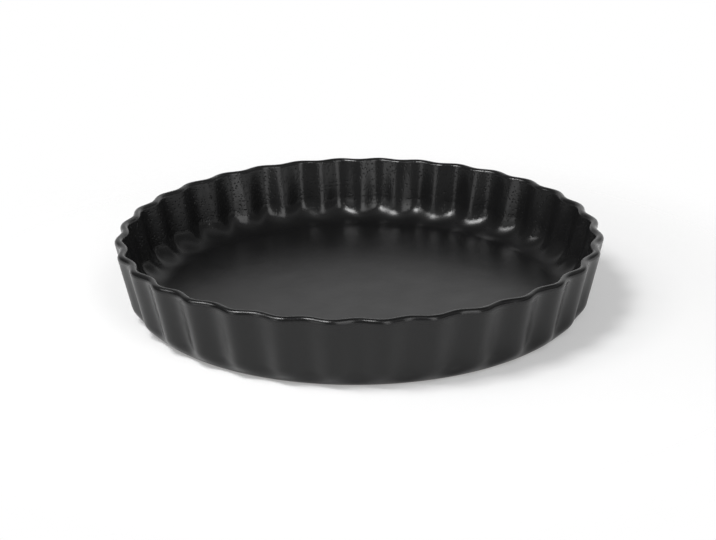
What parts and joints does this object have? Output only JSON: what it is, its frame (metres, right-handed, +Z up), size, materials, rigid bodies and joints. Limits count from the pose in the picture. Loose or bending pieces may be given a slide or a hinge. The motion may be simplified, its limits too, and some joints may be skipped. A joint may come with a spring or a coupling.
{
  "type": "round fluted baking dish",
  "caption": "Round shallow baking dish with a fluted, outward-leaning wall, a thick rounded rim and a flat floor, in stoneware under satin black glaze.",
  "frame": {"origin": "on the table, under the middle of the dish", "axes": "+Z up along the axis of the dish; -Y towards the viewer of the picture, where one flute points inward"},
  "size_m": [0.2786, 0.2786, 0.0415],
  "materials": {
    "bare_stoneware": "matte, fine grit",
    "satin_black_glaze": "satin, finely pitted"
  },
  "bodies": {
    "root": {"stoneware_body": "bare_stoneware", "inside_glaze": "satin_black_glaze", "outside_glaze": "satin_black_glaze", "underside_glaze": "satin_black_glaze"}
  },
  "joints": []
}
